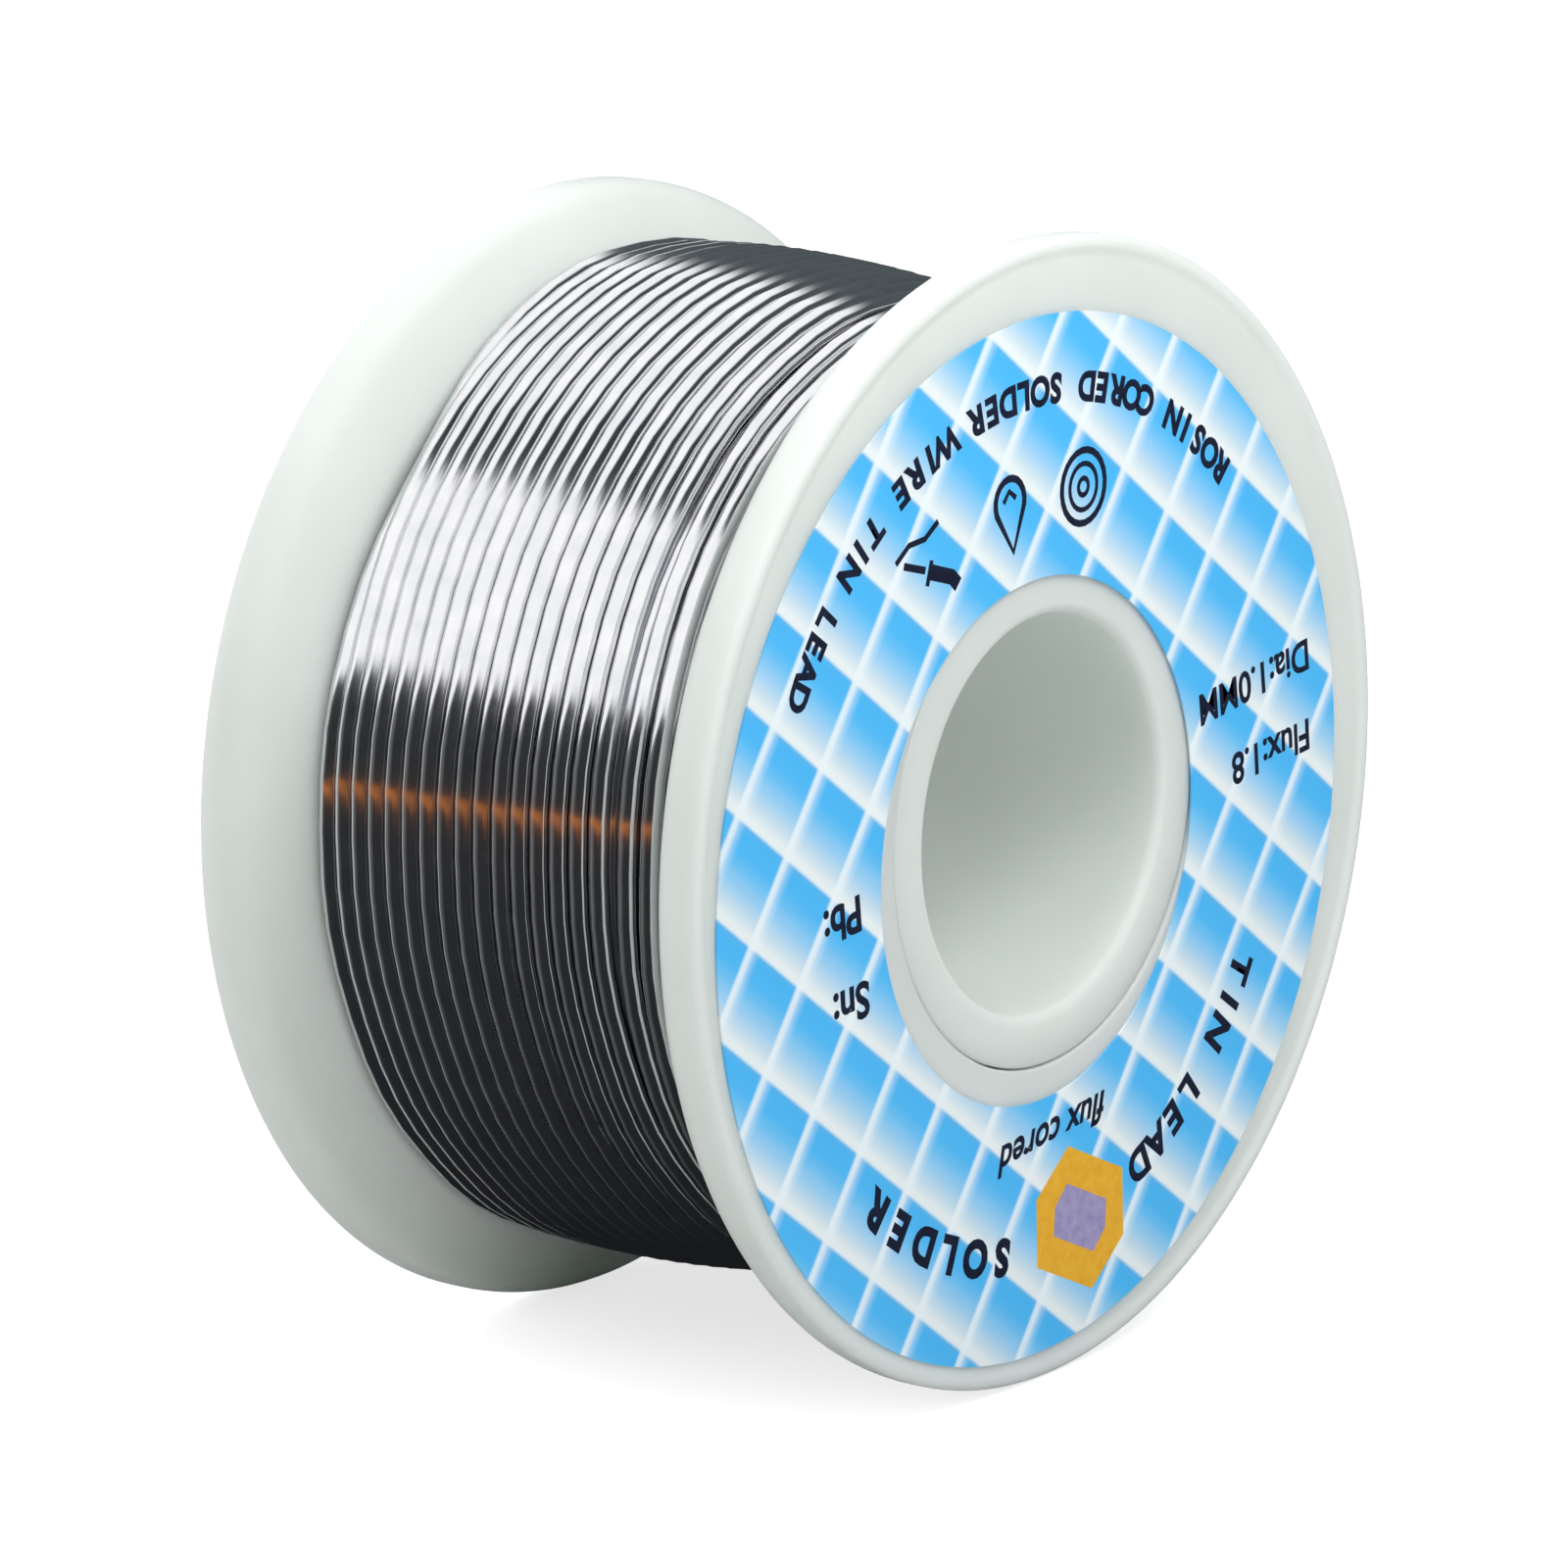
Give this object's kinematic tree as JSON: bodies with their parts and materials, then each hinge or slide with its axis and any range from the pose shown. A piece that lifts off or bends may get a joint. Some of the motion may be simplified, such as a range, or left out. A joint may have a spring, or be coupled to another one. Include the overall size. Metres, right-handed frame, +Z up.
{
  "type": "solder wire spool",
  "caption": "Small plastic reel lying on its two rims, wound with fine flux-cored solder wire, with a round printed paper label on one end face and an open spindle bore",
  "frame": {"origin": "on the surface the spool lies on, midway between its two rims and straight below the axle line", "axes": "+X along the axle line, out of the labelled end face; +Z up, as the spool lies on its rims; +Y sideways"},
  "size_m": [0.0292, 0.055, 0.0549],
  "materials": {
    "reel_plastic": "milky, slightly translucent moulded polypropylene with a soft sheen",
    "label_paper": "glossy coated paper, blue lattice print with dark blue lettering",
    "solder": "bright drawn tin-lead alloy",
    "flux": "amber rosin"
  },
  "bodies": {
    "root": {"rear_flange_with_barrel": "reel_plastic", "front_flange": "reel_plastic", "front_label": "label_paper", "solder_winding": "solder", "solder_free_end": "solder", "flux_core": "flux"}
  },
  "joints": []
}
